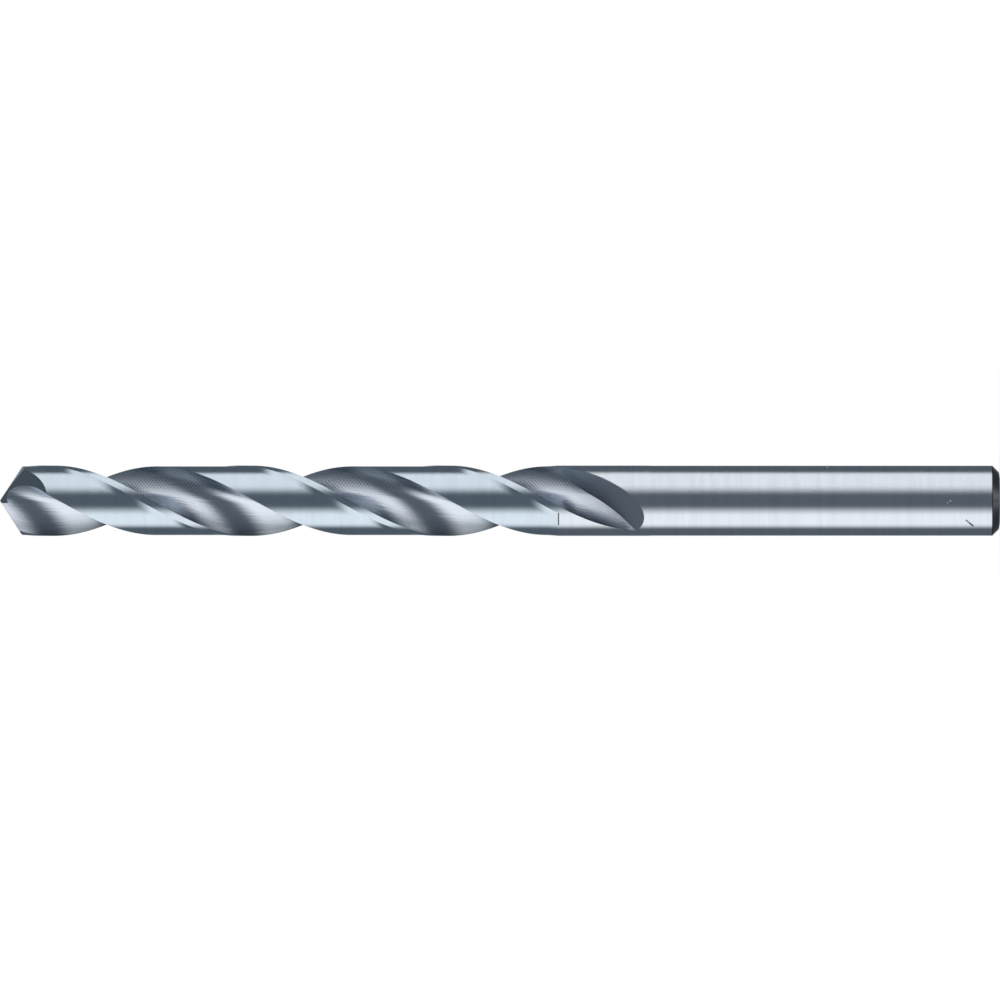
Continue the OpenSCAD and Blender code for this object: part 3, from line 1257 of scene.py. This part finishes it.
@dataclass(frozen=True)
class Flag:
    """A dark card of the photo studio, which only reflections see.

    It covers directions in degrees as seen from the drill: az from the camera's side toward +X, and el
    above the level. fade gives the widths over which its low az, high az, low el and high el sides fade
    out, layer is how many cards stand before it, and strength the share of light that it takes away.
    """

    name: str
    az: Pair
    el: Pair
    shade: float
    fade: tuple[float, float, float, float]
    layer: int = 0
    strength: float = 1.0

    # Distance of the first card and of each one behind it, in metres, and the width of a cell in degrees
    REACH = 1.0
    LAYER_GAP = 0.03
    CELL = 2
    # What the card's brightness is multiplied by for red, green and blue
    TINT = (0.84, 1.0, 1.16)

    def cover(self, az: float, el: float) -> float:
        """Tell how much of the light the card takes away.

        Args:
            az: Direction about the drill, in degrees.
            el: Height above the level, in degrees.

        Returns:
            The share that it takes away.
        """
        share = self.strength
        places = (az - self.az[0], self.az[1] - az, el - self.el[0], self.el[1] - el)
        for inside, width in zip(places, self.fade):
            if width > 0:
                step = min(max(inside / width, 0.0), 1.0)
                share *= step * step * (3 - 2 * step)
        return share

    def build(self, centre: Vector) -> bpy.types.Object:
        """Make the card and hang it around the drill.

        Args:
            centre: The middle of the drill.

        Returns:
            The card.
        """
        columns, rows = (max(2, int((high - low) / self.CELL) + 1) for low, high in (self.az, self.el))
        reach = self.REACH + self.LAYER_GAP * self.layer
        points, covers = [], []
        for el in np.linspace(*self.el, rows):
            for az in np.linspace(*self.az, columns):
                a, e = math.radians(az), math.radians(el)
                way = Vector((math.sin(a) * math.cos(e), -math.cos(a) * math.cos(e), math.sin(e)))
                points.append(centre + reach * way)
                covers.append(self.cover(az, el))
        faces = [
            (j * columns + i, j * columns + i + 1, (j + 1) * columns + i + 1, (j + 1) * columns + i)
            for j in range(rows - 1)
            for i in range(columns - 1)
        ]
        mesh = bpy.data.meshes.new(self.name)
        mesh.from_pydata(points, [], faces)
        mesh.attributes.new("cover", "FLOAT", "POINT").data.foreach_set("value", covers)
        mesh.materials.append(self.paint())
        card = put(self.name, mesh)
        card.visible_camera = card.visible_diffuse = card.visible_shadow = False
        card.visible_transmission = card.visible_volume_scatter = False
        return card

    def paint(self) -> bpy.types.Material:
        """Make the card's dark face, whose fading edges let the light through.

        Returns:
            The material.
        """
        look = bpy.data.materials.new(self.name)
        b = Board.fresh(look)
        colour = (*(self.shade * part for part in self.TINT), 1.0)
        dark = b.add("ShaderNodeEmission", None, {"Color": colour, "Strength": 1.0})
        clear = b.add("ShaderNodeBsdfTransparent")
        share = b.add("ShaderNodeAttribute", {"attribute_name": "cover"}, out="Fac")
        b.add("ShaderNodeOutputMaterial", None, {0: b.mix_shaders(share, clear, dark)})
        return look


@dataclass
class Studio:
    """Floor, light, dark cards and camera."""

    centre: Vector = field(default_factory=lambda: Vector((0.0, 0.0, 0.0625)))
    frame_width: float = 0.125
    lens: float = 1000.0
    sensor: float = 36.0
    shift_up: float = 0.0000875
    floor_reach: float = 4.0
    floor_tone: float = 0.95
    floor_glow: float = 0.75
    room_light: float = 1.08
    lamp_power: float = 2.0
    lamp_size: float = 1.2
    lamp_place: Triple = (-0.7, -0.6, 1.4)

    def flags(self) -> list[Flag]:
        """List the dark cards that stand around the bright openings."""
        return [
            Flag("flag_front", (-52, 55), (-90, 90), 0.123, (38, 38, 0, 0), 0),
            Flag("flag_low_left", (-180, -5), (-27, -8), 0.125, (0, 6, 6, 27), 1),
            Flag("flag_low_right", (-11, 180), (-27, 0), 0.125, (6, 0, 6, 41), 8),
            Flag("flag_high_left", (-180, -5), (23, 90), 0.125, (0, 6, 24, 0), 2),
            Flag("flag_high_right", (-11, 180), (-2, 90), 0.125, (6, 0, 70, 0), 3),
            Flag("flag_right", (93, 166), (-90, 90), 0.11, (22, 6, 0, 0), 4),
            Flag("flag_left", (-166, -81), (-90, 90), 0.115, (6, 28, 0, 0), 5),
            Flag("flag_back", (158, 202), (-90, 90), 0.30, (6, 6, 0, 0), 6),
            Flag("scrim_right", (30, 110), (-90, 90), 0.10, (20, 16, 0, 0), 7, 0.08),
        ]

    def build(self) -> None:
        """Set the studio up around the drill."""
        bpy.context.scene.view_settings.view_transform = "Standard"
        self.set_world()
        self.lay_floor()
        for flag in self.flags():
            flag.build(self.centre)
        self.hang_lamp()
        self.aim_camera()

    def seen(self, b: Board) -> Wire:
        """Give 1 for rays that look at the background: from the camera, a reflection or through glass."""
        camera = b.add("ShaderNodeLightPath", out="Is Camera Ray")
        return b.least(camera + camera.twin("Is Glossy Ray") + camera.twin("Is Transmission Ray"), 1.0)

    def set_world(self) -> None:
        """Light the room softly from all sides, before a white background."""
        world = bpy.data.worlds.new("studio_room")
        bpy.context.scene.world = world
        b = Board.fresh(world)
        soft, white = (
            b.add("ShaderNodeBackground", None, {"Color": (1, 1, 1, 1), "Strength": strength})
            for strength in (self.room_light, 1.0)
        )
        b.add("ShaderNodeOutputWorld", None, {"Surface": b.mix_shaders(self.seen(b), soft, white)})

    def lay_floor(self) -> None:
        """Lay the pale floor that the drill stands on."""
        mesh = bpy.data.meshes.new("floor")
        r, tone = self.floor_reach, self.floor_tone
        mesh.from_pydata([(-r, -r, 0), (r, -r, 0), (r, r, 0), (-r, r, 0)], [], [(0, 1, 2, 3)])
        look = bpy.data.materials.new("floor")
        b = Board.fresh(look)
        pale = b.add("ShaderNodeBsdfDiffuse", None, {"Color": (tone, tone, tone, 1)})
        white = b.add("ShaderNodeEmission", None, {"Color": (1, 1, 1, 1), "Strength": 1.0})
        share = self.seen(b) * self.floor_glow
        b.add("ShaderNodeOutputMaterial", None, {0: b.mix_shaders(share, pale, white)})
        mesh.materials.append(look)
        floor = put("floor", mesh)
        floor.visible_glossy = False

    def hang_lamp(self) -> None:
        """Hang one large soft lamp above the floor, for the drill's soft shadow."""
        light = bpy.data.lights.new("soft_lamp", "AREA")
        light.shape = "DISK"
        light.size = self.lamp_size
        light.energy = self.lamp_power
        lamp = put("soft_lamp", light)
        lamp.location = self.lamp_place
        lamp.rotation_euler = (self.centre - lamp.location).to_track_quat("-Z", "Y").to_euler()
        lamp.visible_glossy = False

    def aim_camera(self) -> None:
        """Look at the drill from its side, with the camera rolled so that the point is on the left."""
        lens = bpy.data.cameras.new("camera")
        lens.lens = self.lens
        lens.sensor_width = self.sensor
        camera = put("camera", lens)
        away = self.frame_width * self.lens / self.sensor
        turn = Matrix(((0, 1, 0), (0, 0, -1), (-1, 0, 0)))
        spot = self.centre + Vector((self.shift_up, -away, 0))
        camera.matrix_world = Matrix.Translation(spot) @ turn.to_4x4()
        bpy.context.scene.camera = camera


@dataclass
class Drill:
    """The drill itself, which stands for the CAD part's one node."""

    sizes: DrillSizes = field(default_factory=DrillSizes)
    fine: Fineness = field(default_factory=Fineness)

    def finishes(self) -> Looks:
        """Make the finish of each surface.

        Returns:
            The materials, by surface.
        """
        end = SteelFinish("chamfered_end", colour=(0.21, 0.20, 0.22), deep=(0.17, 0.165, 0.18))
        flute = FluteFinish("ground_flute", (0.755, 0.82, 0.915), (0.235, 0.27, 0.30), 0.19, relief=3e-6)
        leaf = LeafFinish("runout_leaf", (0.43, 0.50, 0.60), (0.29, 0.335, 0.415), 0.42)
        notch = PointFinish("point_notch", (0.50, 0.58, 0.62), (0.41, 0.47, 0.51))
        return {
            Surface.SHANK: ShankFinish("ground_shank", colour=(0.81, 0.853, 0.92)).material(),
            Surface.END: end.material(),
            Surface.FLUTE: flute.material(),
            Surface.LEAF: leaf.material(),
            Surface.LAND: SteelFinish("relieved_land").material(),
            Surface.FLANK: PointFinish("point_flank").material(),
            Surface.NOTCH: notch.material(),
        }

    def build(self) -> bpy.types.Object:
        """Grind the drill and hand it to the frame.

        Returns:
            The finished piece.
        """
        looks = self.finishes()
        piece = DrillTree(self.sizes, self.fine, looks).grind("drill_steel")
        DrillShading(self.sizes, looks, piece.data).dress()
        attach(piece, "root")
        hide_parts("drill_bit")
        return piece


def main() -> None:
    """Build the studio and the drill, and report each piece."""
    logging.basicConfig(level=logging.INFO, format="%(name)s: %(message)s")
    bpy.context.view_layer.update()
    Studio().build()
    piece = Drill().build()
    log.info("%s: %d faces", piece.name, len(piece.data.polygons))


if __name__ == "__main__":
    main()
